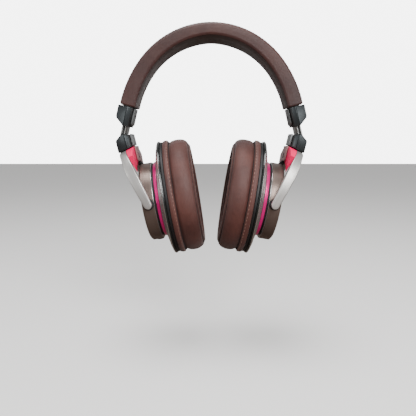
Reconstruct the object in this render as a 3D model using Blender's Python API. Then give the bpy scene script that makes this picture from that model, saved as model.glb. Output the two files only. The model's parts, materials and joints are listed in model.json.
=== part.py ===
"""Over-ear headphones: a padded leather headband, two extending sliders, swivelling yokes and tilting ear cups.

Every size is in millimetres and MM turns it into Blender's metres. The origin is the middle of the
headband's underside, where it rests on a head or a stand. X runs across the head, Y from front to back and
Z up. Everything on a side is drawn once, for the left side at -X, and placed twice: the right side hangs
from an empty that mirrors X.
"""

import math

import bmesh
import bpy
from mathutils import Matrix, Vector

MM = 0.001
GAP = 0.3  # between parts that touch
CUT_SEGMENTS = 16
FINE_SEGMENTS = 32
COARSE_SEGMENTS = 20

# Headband: its outer surface is a crown arc and, past the shoulder, a flatter side arc.
CROWN_THICKNESS = 10.5
END_THICKNESS = 13.4
CROWN_RADIUS = 73.5
SIDE_RADIUS = 95.0
SHOULDER_ANGLE = 54.0
BAND_END_ANGLE = 76.0
BAND_SEGMENTS = 25  # odd, so that one flat facet lies across the middle of the crown
CROWN_HALF_WIDTH = 18.5
END_HALF_WIDTH = 14.6
CROWN_COVER = 0.62  # share of the band's thickness that lies above the steel core, at the crown
END_COVER = 0.74  # the same at the band's ends
CORE_THICKNESS = 1.0
CORE_HALF_WIDTH = 11.0
COVER_CHAMFER = 2.6
PAD_CHAMFER = 1.6

# Slider: a straight steel stem that leans out as it comes down.
SLIDE_TILT = 14.0
SLIDE_POINT = (-71.6, -72.5)  # x and z of a point on the stem, where it shows
STEM_HALF_WIDTH = 10.0
STEM_OUTER = -2.3
STEM_INNER = 1.3
STEM_TOP = 36.0
STEM_BOTTOM = -6.5
SLIDE_UP = 5.0
POCKET_CLEARANCE = 0.4
POCKET_BOTTOM = -20.0

# End cap of the headband, in the slider's frame.
CAP_TOP = 18.1
CAP_BOTTOM = 2.2
CAP_OUTER = -9.3
CAP_RIDGE = -1.0
CAP_INNER = 3.2
CAP_CORNER = 7.6  # height at which the outer face turns in towards the stem
CAP_NOSE = -1.6  # how far out the slanted face ends
CAP_PLATE = (3.8, 7.0, 1.5, 2.5)  # bottom, half width, thickness and corner
FACE_HALF = 8.5
RIDGE_HALF = 14.0
INNER_HALF = 12.0

# Hinge block at the stem's foot and the swivel below it.
SWIVEL_TILT = -26.0
SWIVEL_POINT = (-71.0, -89.7)
BLOCK_TILT = -13.0
BLOCK_OUTER = -6.7
BLOCK_RIDGE = 2.0
BLOCK_INNER = 5.6
BLOCK_PEAK = 13.4
BLOCK_CORNER = 8.8
BLOCK_PEAK_X = 0.6
BLOCK_SHOULDER = 11.2  # height of the top face at the inner side
BLOCK_FOOT = -10.0  # before the swivel face cuts it off
BLOCK_PLATE = (2.1, 7.5, 1.8, 1.0)  # bottom, half width, thickness and corner
BLOCK_PLATE_TOP = 11.9
SOCKET_TOP = 8.0
SWIVEL_PIN_RADIUS = 2.7
SWIVEL_PIN_TOP = 4.8
SWIVEL_PIN_BOTTOM = -7.2

# Yoke: an arch in the plane of the swivel axis, down to the two pivots.
YOKE_DROP = 47.8  # from the swivel face to the tilt axis
YOKE_TOP = 0.5
ARM_INNER = 34.2
ARM_OUTER = 37.8
ARCH_INNER = 38.0
ARM_HALF = 3.3
SHOULDER_OUT = 2.4  # extra width of the crossbar, outwards
SHOULDER_IN = 3.0  # width that the crossbar lacks, inwards, where the coloured rib takes over
ARM_BOW = 1.0  # how far the arms' outer side bows out between crossbar and pivots
BOW_START = 35.0  # degrees from the crossbar's middle
INNER_FULLNESS = 0.84  # below 1, the arch is fuller than an ellipse
OUTER_FULLNESS = 0.68
RIB_SPAN = 38.0  # degrees either way that the rib runs along the arch
RIB_INNER = 34.4
RIB_FACE = 7.4  # where the rib's slanted inner face would meet the swivel face
RIB_SLANT = 0.25
RIB_LEAST = 0.5  # thickness of the rib at its ends
YOKE_PLATE_THICKNESS = 1.2
PLATE_HALF = 9.0
PLATE_BOTTOM = -13.0
PLATE_HOLE = 2.4
PLATE_HOLE_Z = -8.6
PIVOT_RADIUS = 1.9
PIVOT_HEAD_RADIUS = 2.6
PIVOT_INSIDE = 28.0
PIVOT_HEAD = 1.3
PIVOT_IN_ARM = 1.7
BUSH_RADIUS = 4.4

# Cup: every ring lies round the cup's own axis, which crosses the tilt axis. Stations along it are counted
# from the tilt axis, inwards to the ear.
CUP_TILT = -9.2
DRUM_RADIUS = 32.0
DRUM_HEIGHT = 33.0  # half the drum's height, a little more than its half width
DRUM_DROP = 0.9  # how far the drum's outside is centred below the tilt axis
DRUM_BORE = 29.6
DRUM_LIP = 27.5
DRUM_ROUNDING = 1.2
LIP_THICKNESS = 1.8
DRUM_OUTER = -5.5
DRUM_INNER = 4.8
OVAL_RATIO = 7.2  # how much narrower than high the oval parts are, on the radius
DRIVER_RADIUS = 22.5
EAR_HEIGHT = 31.0
EAR_WIDTH = 22.2
SOCKET_RADIUS = 3.0
SOCKET_BORE = 1.8
SOCKET_STATION = 0.9
SOCKET_LENGTH = 13.8
SOCKET_FACE = 34.4

COLOURS = {  # base colour, roughness, metallic
    "leather": ((0.105, 0.042, 0.034, 1), 0.55, 0.0),
    "gunmetal": ((0.055, 0.065, 0.07, 1), 0.38, 0.85),
    "grey_plate": ((0.28, 0.28, 0.29, 1), 0.45, 0.6),
    "steel": ((0.42, 0.42, 0.42, 1), 0.3, 1.0),
    "silver": ((0.55, 0.55, 0.56, 1), 0.38, 0.9),
    "taupe": ((0.15, 0.12, 0.105, 1), 0.42, 0.8),
    "red": ((0.75, 0.02, 0.075, 1), 0.35, 0.4),
    "magenta": ((0.62, 0.01, 0.18, 1), 0.25, 0.8),
    "rose_plate": ((0.36, 0.26, 0.25, 1), 0.5, 0.4),
    "black": ((0.012, 0.012, 0.014, 1), 0.5, 0.0),
    "cloth": ((0.02, 0.016, 0.015, 1), 0.9, 0.0),
    "board": ((0.02, 0.12, 0.05, 1), 0.6, 0.0),
}


# ---------------------------------------------------------------- scene, frames and materials


def clear_scene():
    for obj in list(bpy.data.objects):
        bpy.data.objects.remove(obj)


def material(name):
    found = bpy.data.materials.get(name)
    if found:
        return found
    colour, roughness, metallic = COLOURS[name]
    made = bpy.data.materials.new(name)
    made.use_nodes = True
    shader = made.node_tree.nodes["Principled BSDF"]
    shader.inputs["Base Color"].default_value = colour
    shader.inputs["Roughness"].default_value = roughness
    shader.inputs["Metallic"].default_value = metallic
    made.diffuse_color = colour
    return made


def empty(name, x=0.0, z=0.0, tilt=0.0, parent=None):
    """An empty at (x, 0, z) that leans by tilt degrees about Y, measured in its parent's own frame."""
    made = bpy.data.objects.new(name, None)
    made.location = (x * MM, 0, z * MM)
    made.rotation_euler = (0, math.radians(tilt), 0)
    made.parent = parent
    bpy.context.scene.collection.objects.link(made)
    return made


def frame_matrix(point, tilt):
    """From a frame that stands at (x, z) and leans by tilt degrees about Y, to the left side's own frame."""
    return Matrix.Translation((point[0], 0, point[1])) @ Matrix.Rotation(math.radians(tilt), 4, "Y")


def to_frame(mesh_data, source, target):
    """Moves a mesh drawn in one side frame into another."""
    mesh_data.transform(target.inverted() @ source)


# ---------------------------------------------------------------- meshes, drawn in millimetres


def finished(bm, name):
    bmesh.ops.remove_doubles(bm, verts=bm.verts, dist=1e-5)
    bmesh.ops.recalc_face_normals(bm, faces=bm.faces)
    data = bpy.data.meshes.new(name)
    bm.to_mesh(data)
    bm.free()
    return data


def bridge(bm, rings, closed):
    """Joins each ring of vertices to the next, and caps the ends of an open row."""
    count = len(rings[0])
    pairs = list(zip(rings, rings[1:]))
    if closed:
        pairs.append((rings[-1], rings[0]))
    for low, high in pairs:
        for i in range(count):
            j = (i + 1) % count
            bm.faces.new((low[i], low[j], high[j], high[i]))
    if not closed:
        bm.faces.new(rings[0])
        bm.faces.new(list(reversed(rings[-1])))


def oval_rings(name, stations, segments, hollow=True):
    """A ring or a disc round the X axis.

    Each station is (x, radius), (x, half height, half width) or (x, half height, half width, drop).
    """
    bm = bmesh.new()
    rings = []
    turns = [2 * math.pi * i / segments for i in range(segments)]
    for x, height, *others in stations:
        width, drop = [*others, 0][:2] if others else (height, 0)
        rings.append([bm.verts.new((x, width * math.sin(t), height * math.cos(t) - drop)) for t in turns])
    bridge(bm, rings, closed=hollow)
    return finished(bm, name)


def oval(x, height):
    """A station of the oval parts, whose half width follows from their half height."""
    return x, height, height - OVAL_RATIO


def prism(name, outline, half_width):
    """An outline in X and Z, extruded both ways along Y."""
    bm = bmesh.new()
    rings = [[bm.verts.new((x, y, z)) for x, z in outline] for y in (-half_width, half_width)]
    bridge(bm, rings, closed=False)
    return finished(bm, name)


def turned(name, stations, axis, segments=CUT_SEGMENTS):
    """A solid of revolution round X, Y or Z, from (distance along the axis, radius) stations."""
    data = oval_rings(name, stations, segments, hollow=False)
    if axis == "Y":
        data.transform(Matrix.Rotation(math.radians(90), 4, "Z"))
    if axis == "Z":
        data.transform(Matrix.Rotation(math.radians(-90), 4, "Y"))
    return data


def ridged_bar(name, outer, ridge, inner, bottom, top):
    """A bar along Z whose front and back each have two facets that meet in a ridge."""
    section = [(outer, FACE_HALF), (ridge, RIDGE_HALF), (inner, INNER_HALF)]
    section += [(x, -y) for x, y in reversed(section)]
    bm = bmesh.new()
    rings = [[bm.verts.new((x, y, z)) for x, y in section] for z in (bottom, top)]
    bridge(bm, rings, closed=False)
    return finished(bm, name)


def sliced(data, point, normal):
    """Cuts away what lies on the normal's side of a plane, and closes the cut."""
    bm = bmesh.new()
    bm.from_mesh(data)
    geometry = bm.verts[:] + bm.edges[:] + bm.faces[:]
    cut = bmesh.ops.bisect_plane(bm, geom=geometry, plane_co=point, plane_no=normal, clear_outer=True)
    edges = [e for e in cut["geom_cut"] if isinstance(e, bmesh.types.BMEdge)]
    bmesh.ops.edgeloop_fill(bm, edges=edges)
    return finished(bm, data.name)


def carved(data, *cutters):
    """A mesh with the cutters' meshes taken out of it, by Boolean modifiers that are then applied."""
    body = bpy.data.objects.new("carving", data)
    bpy.context.scene.collection.objects.link(body)
    tools = []
    for cutter in cutters:
        tool = bpy.data.objects.new("cutter", cutter)
        tool.hide_render = True
        tool.display_type = "WIRE"
        bpy.context.scene.collection.objects.link(tool)
        tools.append(tool)
        cut = body.modifiers.new("cut", "BOOLEAN")
        cut.operation = "DIFFERENCE"
        cut.solver = "EXACT"
        cut.object = tool
    bpy.context.view_layer.update()
    graph = bpy.context.evaluated_depsgraph_get()
    made = bpy.data.meshes.new_from_object(body.evaluated_get(graph))
    made.name = data.name
    for obj in (body, *tools):
        bpy.data.objects.remove(obj)
    return made


# ---------------------------------------------------------------- headband


def smooth(share):
    return share * share * (3 - 2 * share)


def band_share(angle):
    """0 at the crown and 1 at the band's ends."""
    return min(1.0, abs(angle) / BAND_END_ANGLE)


def band_surface(angle):
    """x and z of the band's outer surface, where its normal leans by angle degrees from straight up."""
    side = math.copysign(1, angle)
    lean = math.radians(min(abs(angle), SHOULDER_ANGLE))
    x = CROWN_RADIUS * math.sin(lean)
    z = CROWN_THICKNESS - CROWN_RADIUS * (1 - math.cos(lean))
    if abs(angle) > SHOULDER_ANGLE:
        full = math.radians(abs(angle))
        x += SIDE_RADIUS * (math.sin(full) - math.sin(lean))
        z += SIDE_RADIUS * (math.cos(full) - math.cos(lean))
    return side * x, z


def facet_sag():
    """How far the underside of the crown's middle facet would hang below the origin."""
    angle = BAND_END_ANGLE / BAND_SEGMENTS
    return band_thickness(angle) * math.cos(math.radians(angle)) - band_surface(angle)[1]


def band_thickness(angle):
    return CROWN_THICKNESS + (END_THICKNESS - CROWN_THICKNESS) * band_share(angle)


def cover_depth(angle):
    """How far below the outer surface the cover's underside lies."""
    return (CROWN_COVER + (END_COVER - CROWN_COVER) * band_share(angle)) * band_thickness(angle)


def band_half_width(angle):
    return CROWN_HALF_WIDTH + (END_HALF_WIDTH - CROWN_HALF_WIDTH) * smooth(band_share(angle))


def band_loft(name, section):
    """Sweeps a section along the band. section(angle) gives (y, depth below the outer surface) points."""
    bm = bmesh.new()
    rings = []
    for i in range(BAND_SEGMENTS + 1):
        angle = BAND_END_ANGLE * (2 * i / BAND_SEGMENTS - 1)
        x, z = band_surface(angle)
        z += facet_sag()
        lean = math.radians(angle)
        ring = []
        for y, depth in section(angle):
            ring.append(bm.verts.new((x - depth * math.sin(lean), y, z - depth * math.cos(lean))))
        rings.append(ring)
    bridge(bm, rings, closed=False)
    return finished(bm, name)


def cover_section(angle):
    half = band_half_width(angle)
    depth = cover_depth(angle)
    return [
        (-half, depth),
        (-half, COVER_CHAMFER),
        (COVER_CHAMFER - half, 0),
        (half - COVER_CHAMFER, 0),
        (half, COVER_CHAMFER),
        (half, depth),
    ]


def core_section(angle):
    top = cover_depth(angle) + GAP
    bottom = top + CORE_THICKNESS
    return [
        (-CORE_HALF_WIDTH, bottom),
        (-CORE_HALF_WIDTH, top),
        (CORE_HALF_WIDTH, top),
        (CORE_HALF_WIDTH, bottom),
    ]


def pad_section(angle):
    half = band_half_width(angle)
    thickness = band_thickness(angle)
    top = cover_depth(angle) + CORE_THICKNESS + 2 * GAP
    return [
        (half, top),
        (half, thickness - PAD_CHAMFER),
        (half - PAD_CHAMFER, thickness),
        (PAD_CHAMFER - half, thickness),
        (-half, thickness - PAD_CHAMFER),
        (-half, top),
    ]


def stem_box(name, clearance, bottom, top):
    """The stem, or with a clearance the space that it slides in, in the slider's frame."""
    outer, inner = STEM_OUTER - clearance, STEM_INNER + clearance
    outline = [(outer, bottom), (inner, bottom), (inner, top), (outer, top)]
    return prism(name, outline, STEM_HALF_WIDTH + clearance)


def stem_pocket(tilt_frame, mirrored):
    """The space for a stem in the headband's own frame."""
    pocket = stem_box("stem_pocket", POCKET_CLEARANCE, POCKET_BOTTOM, STEM_TOP + SLIDE_UP + POCKET_CLEARANCE)
    pocket.transform(tilt_frame)
    if mirrored:
        pocket.transform(Matrix.Scale(-1, 4, (1, 0, 0)))
        pocket.flip_normals()
    return pocket


def headband_parts(slide_frame):
    cover = band_loft("headband_cover", cover_section)
    pockets = [stem_pocket(slide_frame, mirrored) for mirrored in (False, True)]
    return {
        "headband_cover": (carved(cover, *pockets), "leather"),
        "headband_core": (band_loft("headband_core", core_section), "steel"),
        "headband_pad": (band_loft("headband_pad", pad_section), "leather"),
    }


# ---------------------------------------------------------------- end cap, slider and hinge block


def end_cap():
    """The faceted cap on the band's end, with the slot that the stem slides through."""
    bar = ridged_bar("end_cap", CAP_OUTER, CAP_RIDGE, CAP_INNER, CAP_BOTTOM, CAP_TOP)
    run = Vector((CAP_NOSE - CAP_OUTER, 0, CAP_BOTTOM - CAP_CORNER))
    bar = sliced(bar, (CAP_OUTER, 0, CAP_CORNER), (run.z, 0, -run.x))
    return carved(bar, stem_box("slot", POCKET_CLEARANCE, CAP_BOTTOM - 5, CAP_TOP + 5))


def inner_plate(name, x, top, sizes):
    """A thin plate on the inner side, with its two lower corners cut off."""
    bottom, half_width, thickness, corner = sizes
    bm = bmesh.new()
    outline = [
        (half_width, top),
        (half_width, bottom + corner),
        (half_width - corner, bottom),
        (corner - half_width, bottom),
        (-half_width, bottom + corner),
        (-half_width, top),
    ]
    rings = [[bm.verts.new((x + dx, y, z)) for y, z in outline] for dx in (0, thickness)]
    bridge(bm, rings, closed=False)
    return finished(bm, name)


def hinge_block(slide_in_block, swivel_in_block):
    """The faceted block at the stem's foot, drawn in its own frame at the swivel face."""
    bar = ridged_bar("hinge_block", BLOCK_OUTER, BLOCK_RIDGE, BLOCK_INNER, BLOCK_FOOT, BLOCK_PEAK)
    rise = Vector((BLOCK_PEAK_X - BLOCK_OUTER, 0, BLOCK_PEAK - BLOCK_CORNER))
    bar = sliced(bar, (BLOCK_OUTER, 0, BLOCK_CORNER), (-rise.z, 0, rise.x))
    fall = Vector((BLOCK_INNER - BLOCK_PEAK_X, 0, BLOCK_SHOULDER - BLOCK_PEAK))
    bar = sliced(bar, (BLOCK_PEAK_X, 0, BLOCK_PEAK), (-fall.z, 0, fall.x))
    down = swivel_in_block.to_3x3() @ Vector((0, 0, -1))
    bar = sliced(bar, (0, 0, 0), down)
    socket = stem_box("stem_socket", GAP, STEM_BOTTOM - GAP, SOCKET_TOP)
    socket.transform(slide_in_block)
    top = SWIVEL_PIN_TOP + GAP
    bore = turned("bore", [(-5, SWIVEL_PIN_RADIUS + GAP), (top, SWIVEL_PIN_RADIUS + GAP)], "Z")
    bore.transform(swivel_in_block)
    return carved(bar, socket, bore)


# ---------------------------------------------------------------- yoke


def crown_share(turn):
    """1 at the crossbar's middle and 0 at the pivots, turn degrees away."""
    return max(0.0, math.cos(math.radians(turn))) ** 3


def arch_point(turn, half, rise, fullness):
    """y and z of a point of the arch's outline, turn degrees from the crossbar's middle."""
    lean = math.radians(turn)
    y = math.copysign(abs(math.sin(lean)) ** fullness, turn) * half
    return y, max(0.0, math.cos(lean)) ** fullness * rise - YOKE_DROP


def arm_bow(turn):
    """How far the outer side bows out at a place along the arch."""
    share = max(0.0, abs(turn) - BOW_START) / (90 - BOW_START)
    return 4 * ARM_BOW * share * (1 - share)


def yoke_section(turn):
    """Corners of the yoke's section, turn degrees from the crossbar's middle, in the swivel frame."""
    crown = crown_share(turn)
    inner = arch_point(turn, ARM_INNER, ARCH_INNER, INNER_FULLNESS)
    outer = arch_point(turn, ARM_OUTER, YOKE_DROP - YOKE_TOP, OUTER_FULLNESS)
    outward = -(ARM_HALF + SHOULDER_OUT * crown + arm_bow(turn))
    inward = ARM_HALF - SHOULDER_IN * crown
    corners = [(outward, inner), (outward, outer), (inward, outer), (inward, inner)]
    return [(x, y, z) for x, (y, z) in corners]


def round_end(side):
    """Sections of an arm's rounded end, from its tip up to the pivot, for side -1 or 1."""
    sections = []
    for turn in (75, 50, 25):
        half = ARM_HALF * math.cos(math.radians(turn))
        z = -YOKE_DROP - ARM_HALF * math.sin(math.radians(turn))
        inner, outer = side * ARM_INNER, side * ARM_OUTER
        sections.append([(-half, inner, z), (-half, outer, z), (half, outer, z), (half, inner, z)])
    return sections


def yoke():
    steps = 18
    arch = [yoke_section(180 * i / steps - 90) for i in range(steps + 1)]
    sections = round_end(-1) + arch + list(reversed(round_end(1)))
    bm = bmesh.new()
    bridge(bm, [[bm.verts.new(p) for p in section] for section in sections], closed=False)
    body = finished(bm, "yoke")
    radius = PIVOT_RADIUS + GAP
    drill = turned("drill", [(ARM_INNER - 3, radius), (ARM_INNER + PIVOT_IN_ARM + GAP, radius)], "Y")
    drill.transform(Matrix.Translation((0, 0, -YOKE_DROP)))
    other = drill.copy()
    other.transform(Matrix.Scale(-1, 4, (0, 1, 0)))
    other.flip_normals()
    return carved(body, drill, other, swivel_bore())


def swivel_bore():
    radius = SWIVEL_PIN_RADIUS + GAP
    return turned("bore", [(SWIVEL_PIN_BOTTOM - GAP, radius), (5, radius)], "Z")


def rib_face(z):
    """x of the rib's inner face at a height: it slants towards the yoke on its way down."""
    return RIB_FACE + RIB_SLANT * z


def yoke_accent():
    """The coloured rib on the inner side of the arch. It tapers towards both ends."""
    steps = 12
    sections = []
    for i in range(steps + 1):
        turn = RIB_SPAN * (2 * i / steps - 1)
        lean = math.radians(turn)
        near = ARM_HALF - SHOULDER_IN * crown_share(turn) + GAP
        y, low = RIB_INNER * math.sin(lean), RIB_INNER * math.cos(lean) - YOKE_DROP
        top_y, top = arch_point(turn, ARM_OUTER, YOKE_DROP - YOKE_TOP, OUTER_FULLNESS)
        far_low = max(near + RIB_LEAST, rib_face(low))
        far_top = max(near + RIB_LEAST, rib_face(top))
        sections.append([(near, y, low), (near, top_y, top), (far_top, top_y, top), (far_low, y, low)])
    bm = bmesh.new()
    bridge(bm, [[bm.verts.new(p) for p in section] for section in sections], closed=False)
    return carved(finished(bm, "yoke_accent"), swivel_bore())


def yoke_plate():
    """The plate on the rib's inner side, with the hole that the wires leave by."""
    outline = []
    for z in (-YOKE_TOP, PLATE_BOTTOM):
        near = rib_face(z) + GAP
        ends = [(near, z), (near + YOKE_PLATE_THICKNESS, z)]
        outline += reversed(ends) if outline else ends
    middle = rib_face(PLATE_HOLE_Z)
    hole = turned("hole", [(middle - 2, PLATE_HOLE), (middle + 4, PLATE_HOLE)], "X")
    hole.transform(Matrix.Translation((0, 0, PLATE_HOLE_Z)))
    return carved(prism("yoke_plate", outline, PLATE_HALF), hole)


def pivot_pin(side):
    ends = PIVOT_INSIDE, PIVOT_INSIDE + PIVOT_HEAD, ARM_INNER + PIVOT_IN_ARM
    stations = [
        (ends[0], PIVOT_HEAD_RADIUS),
        (ends[1], PIVOT_HEAD_RADIUS),
        (ends[1], PIVOT_RADIUS),
        (ends[2], PIVOT_RADIUS),
    ]
    pin = turned("pivot_pin", stations, "Y")
    if side < 0:
        pin.transform(Matrix.Rotation(math.radians(180), 4, "Z"))
    return pin


# ---------------------------------------------------------------- cup, in its own frame: X is the cup's axis


def drum_outside(x, rounding):
    return x, DRUM_HEIGHT - rounding, DRUM_RADIUS - rounding, DRUM_DROP


def drum(with_socket):
    stations = [
        drum_outside(DRUM_INNER, 0),
        drum_outside(DRUM_OUTER + DRUM_ROUNDING, 0),
        drum_outside(DRUM_OUTER, DRUM_ROUNDING),
        (DRUM_OUTER, DRUM_LIP),
        (DRUM_OUTER + LIP_THICKNESS, DRUM_LIP),
        (DRUM_OUTER + LIP_THICKNESS, DRUM_BORE),
        (DRUM_INNER, DRUM_BORE),
    ]
    body = oval_rings("drum", stations, FINE_SEGMENTS)
    reach = DRUM_RADIUS + 5
    radius = PIVOT_RADIUS + GAP
    cutters = [turned("drill", [(-reach, radius), (reach, radius)], "Y")]
    if with_socket:
        radius = SOCKET_RADIUS + GAP
        hole = turned("hole", [(-reach, radius), (SOCKET_LENGTH - SOCKET_FACE, radius)], "Z")
        hole.transform(Matrix.Translation((SOCKET_STATION, 0, 0)))
        cutters.append(hole)
    return carved(body, *cutters)


def back_plate():
    return oval_rings(
        "back_plate",
        [(-6.0, 25.6), (-5.4, 27.2), (-3.4, 27.2), (-3.4, 29.2), (-2.7, 29.2)],
        FINE_SEGMENTS,
        hollow=False,
    )


def round_ring(name, start, end, outer, inner):
    stations = [(start, inner), (start, outer), (end, outer), (end, inner)]
    return oval_rings(name, stations, FINE_SEGMENTS)


def cup_frame():
    """The flared frame between the round drum and the oval pad."""
    stations = [
        (9.2, 32.6),
        (10.2, 40.0, 36.6),
        oval(11.7, 47.2),
        oval(12.6, 48.4),
        oval(14.3, 47.8),
        oval(14.3, 45.4),
        (12.4, 44.0, 38.0),
        (11.2, 31.0),
        (9.2, 29.4),
    ]
    return oval_rings("cup_frame", stations, FINE_SEGMENTS)


def baffle():
    hole = DRIVER_RADIUS + 0.4
    return oval_rings("baffle", [(14.6, hole), oval(14.6, 47.0), oval(16.6, 47.0), (16.6, hole)], FINE_SEGMENTS)


def ear_pad():
    stations = [
        oval(16.9, 47.6),
        oval(17.7, 48.3),
        oval(20.7, 48.3),
        oval(21.6, 46.8),
        oval(23.0, 48.2),
        oval(27.0, 49.2),
        oval(32.0, 48.9),
        oval(36.5, 46.6),
        oval(39.1, 42.4),
        (39.6, 38.6, 30.4),
        (38.2, 34.6, 26.2),
        (34.5, EAR_HEIGHT + 1.0, EAR_WIDTH + 1.0),
        (16.9, EAR_HEIGHT, EAR_WIDTH),
    ]
    return oval_rings("ear_pad", stations, FINE_SEGMENTS)


def driver_frame():
    stations = [(11.6, 13.6), (11.6, DRIVER_RADIUS), (16.6, DRIVER_RADIUS)]
    stations += [(16.6, 20.9), (15.6, 20.9), (12.8, 13.6)]
    return oval_rings("driver_frame", stations, COARSE_SEGMENTS)


def diaphragm():
    """A thin coned ring with a dome in its middle."""
    back = [(15.1, 1.0), (14.8, 5.5), (13.9, 12.4), (16.1, 20.0)]
    front = [(16.6, 20.0), (14.6, 12.0), (15.3, 6.0), (15.6, 1.0)]
    return oval_rings("diaphragm", back + front, COARSE_SEGMENTS, hollow=False)


def disc(name, start, end, height, width=None, segments=COARSE_SEGMENTS):
    width = height if width is None else width
    return oval_rings(name, [(start, height, width), (end, height, width)], segments, hollow=False)


def pivot_bush(side):
    inner, outer = DRUM_RADIUS + GAP, ARM_INNER - 2 * GAP
    hole = PIVOT_RADIUS + GAP
    ring = [(inner, BUSH_RADIUS), (outer, BUSH_RADIUS), (outer, hole), (inner, hole)]
    made = oval_rings("pivot_bush", ring, CUT_SEGMENTS)
    made.transform(Matrix.Rotation(math.radians(90 * side), 4, "Z"))
    return made


def jack_socket():
    """A round socket for a headphone plug, in the drum's lowest point."""
    ends = -SOCKET_FACE, SOCKET_LENGTH - SOCKET_FACE
    ring = [(ends[0], SOCKET_RADIUS), (ends[1], SOCKET_RADIUS), (ends[1], SOCKET_BORE), (ends[0], SOCKET_BORE)]
    made = oval_rings("jack_socket", ring, CUT_SEGMENTS)
    made.transform(Matrix.Translation((SOCKET_STATION, 0, 0)) @ Matrix.Rotation(math.radians(-90), 4, "Y"))
    return made


def terminal_board():
    return prism("terminal_board", [(-0.9, 8.0), (0.3, 8.0), (0.3, 20.0), (-0.9, 20.0)], 8.0)


# ---------------------------------------------------------------- assembly


def place(name, data, parent, look):
    """One object for a piece drawn in its parent's frame, in millimetres."""
    made = bpy.data.objects.new(name, data)
    made.parent = parent
    if not data.materials:
        data.transform(Matrix.Scale(MM, 4))
        data.materials.append(material(look))
        data.shade_smooth()
        data.set_sharp_from_angle(angle=math.radians(30))
    bpy.context.scene.collection.objects.link(made)
    return made


def side_parts():
    """Every piece of a side as (name, frame, mesh, look), each drawn in its frame."""
    slide = frame_matrix(SLIDE_POINT, SLIDE_TILT)
    swivel = frame_matrix(SWIVEL_POINT, SWIVEL_TILT)
    block = frame_matrix(SWIVEL_POINT, BLOCK_TILT)
    block_body = hinge_block(block.inverted() @ slide, block.inverted() @ swivel)
    to_frame(block_body, block, slide)
    block_plate = inner_plate("hinge_plate", BLOCK_INNER + GAP, BLOCK_PLATE_TOP, BLOCK_PLATE)
    to_frame(block_plate, block, slide)
    cap_plate = inner_plate("cap_plate", CAP_INNER + GAP, CAP_TOP, CAP_PLATE)
    pins = {}
    for place_name, side in (("front", -1), ("back", 1)):
        pins[place_name] = pivot_pin(side)
        pins[place_name].transform(Matrix.Translation((0, 0, -YOKE_DROP)))
    swivel_pin = turned(
        "swivel_pin",
        [(SWIVEL_PIN_BOTTOM, SWIVEL_PIN_RADIUS), (SWIVEL_PIN_TOP, SWIVEL_PIN_RADIUS)],
        "Z",
    )
    return [
        ("end_cap", "fixed", end_cap(), "gunmetal"),
        ("cap_plate", "fixed", cap_plate, "grey_plate"),
        ("stem", "slider", stem_box("stem", 0, STEM_BOTTOM, STEM_TOP), "steel"),
        ("hinge_block", "slider", block_body, "gunmetal"),
        ("hinge_plate", "slider", block_plate, "grey_plate"),
        ("yoke", "yoke", yoke(), "silver"),
        ("yoke_accent", "yoke", yoke_accent(), "red"),
        ("yoke_plate", "yoke", yoke_plate(), "rose_plate"),
        ("swivel_pin", "yoke", swivel_pin, "steel"),
        ("pivot_pin_front", "yoke", pins["front"], "steel"),
        ("pivot_pin_back", "yoke", pins["back"], "steel"),
        ("back_plate", "cup", back_plate(), "taupe"),
        ("gasket", "cup", round_ring("gasket", 5.1, 6.1, 31.0, 28.0), "black"),
        ("accent_ring", "cup", round_ring("accent_ring", 6.4, 8.9, 31.8, 28.0), "magenta"),
        ("cup_frame", "cup", cup_frame(), "taupe"),
        ("baffle", "cup", baffle(), "black"),
        ("ear_pad", "cup", ear_pad(), "leather"),
        ("driver_frame", "cup", driver_frame(), "black"),
        ("driver_magnet", "cup", disc("driver_magnet", 4.6, 11.3, 12.0), "steel"),
        ("diaphragm", "cup", diaphragm(), "grey_plate"),
        ("driver_grille", "cup", disc("driver_grille", 17.2, 17.8, 21.8), "black"),
        ("dust_cloth", "cup", disc("dust_cloth", 18.1, 18.6, EAR_HEIGHT - 0.6, EAR_WIDTH - 0.6, 32), "cloth"),
        ("damping_felt", "cup", disc("damping_felt", 2.8, 4.3, 18.0), "cloth"),
        ("pivot_bush_front", "cup", pivot_bush(-1), "black"),
        ("pivot_bush_back", "cup", pivot_bush(1), "black"),
        ("terminal_board", "cup", terminal_board(), "board"),
    ]


def side_frames(side, mirror):
    """The empties that a side's pieces hang from. Each stands on its joint's axis."""
    root = empty(side)
    root.scale = (mirror, 1, 1)
    frames = {"fixed": empty(f"{side}_cap_frame", *SLIDE_POINT, SLIDE_TILT, root)}
    frames["slider"] = empty(f"{side}_slider_frame", *SLIDE_POINT, SLIDE_TILT, root)
    slide = frame_matrix(SLIDE_POINT, SLIDE_TILT)
    swivel = slide.inverted() @ Vector((SWIVEL_POINT[0], 0, SWIVEL_POINT[1]))
    lean = SWIVEL_TILT - SLIDE_TILT
    frames["yoke"] = empty(f"{side}_yoke_frame", swivel.x, swivel.z, lean, frames["slider"])
    lean = CUP_TILT - SWIVEL_TILT
    frames["cup"] = empty(f"{side}_cup_frame", 0, -YOKE_DROP, lean, frames["yoke"])
    return frames


def main():
    clear_scene()
    band = empty("headband")
    for name, (data, look) in headband_parts(frame_matrix(SLIDE_POINT, SLIDE_TILT)).items():
        place(name, data, band, look)
    parts = side_parts()
    for side, mirror in (("left", 1), ("right", -1)):
        frames = side_frames(side, mirror)
        for name, frame, data, look in parts:
            place(f"{name}_{side}", data, frames[frame], look)
        place(f"drum_{side}", drum(with_socket=side == "left"), frames["cup"], "taupe")
        if side == "left":
            place("jack_socket", jack_socket(), frames["cup"], "black")


main()
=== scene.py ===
"""The finished look of a pair of over-ear headphones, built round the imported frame.

Every piece is drawn in millimetres in the frame of the part that it belongs to, for the left side at -X, and
put() turns it into metres in the row's frame. The right side is the left one mirrored in X.
"""

import json
import math

import bmesh
import bpy
from mathutils import Matrix, Vector
from mathutils.bvhtree import BVHTree
from mathutils.kdtree import KDTree


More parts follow.
